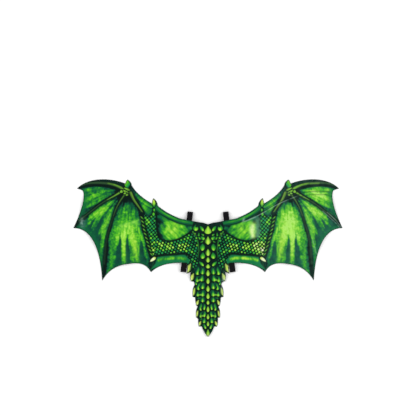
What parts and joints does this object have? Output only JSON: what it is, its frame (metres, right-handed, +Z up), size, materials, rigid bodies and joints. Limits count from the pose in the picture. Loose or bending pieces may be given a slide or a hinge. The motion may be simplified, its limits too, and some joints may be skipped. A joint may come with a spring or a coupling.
{
  "type": "dragon wings with a tail",
  "caption": "Child's costume wings and tail in one cut of printed cloth, with an elastic arm loop behind each shoulder, lying flat.",
  "frame": {"origin": "on the floor, under the middle of the wings' outline", "axes": "+X across the span towards the right wing's tip, +Y up the back from the tail to the neck, +Z up from the floor through the printed face"},
  "size_m": [1.054, 0.617, 0.0113],
  "materials": {
    "printed_cloth": "felted cloth printed on its face in greens over near-black, plain dark green behind",
    "elastic": "ribbed black elastic"
  },
  "bodies": {
    "root": {"wing_and_tail_cloth": "printed_cloth", "left_arm_loop": "elastic", "right_arm_loop": "elastic"}
  },
  "joints": []
}
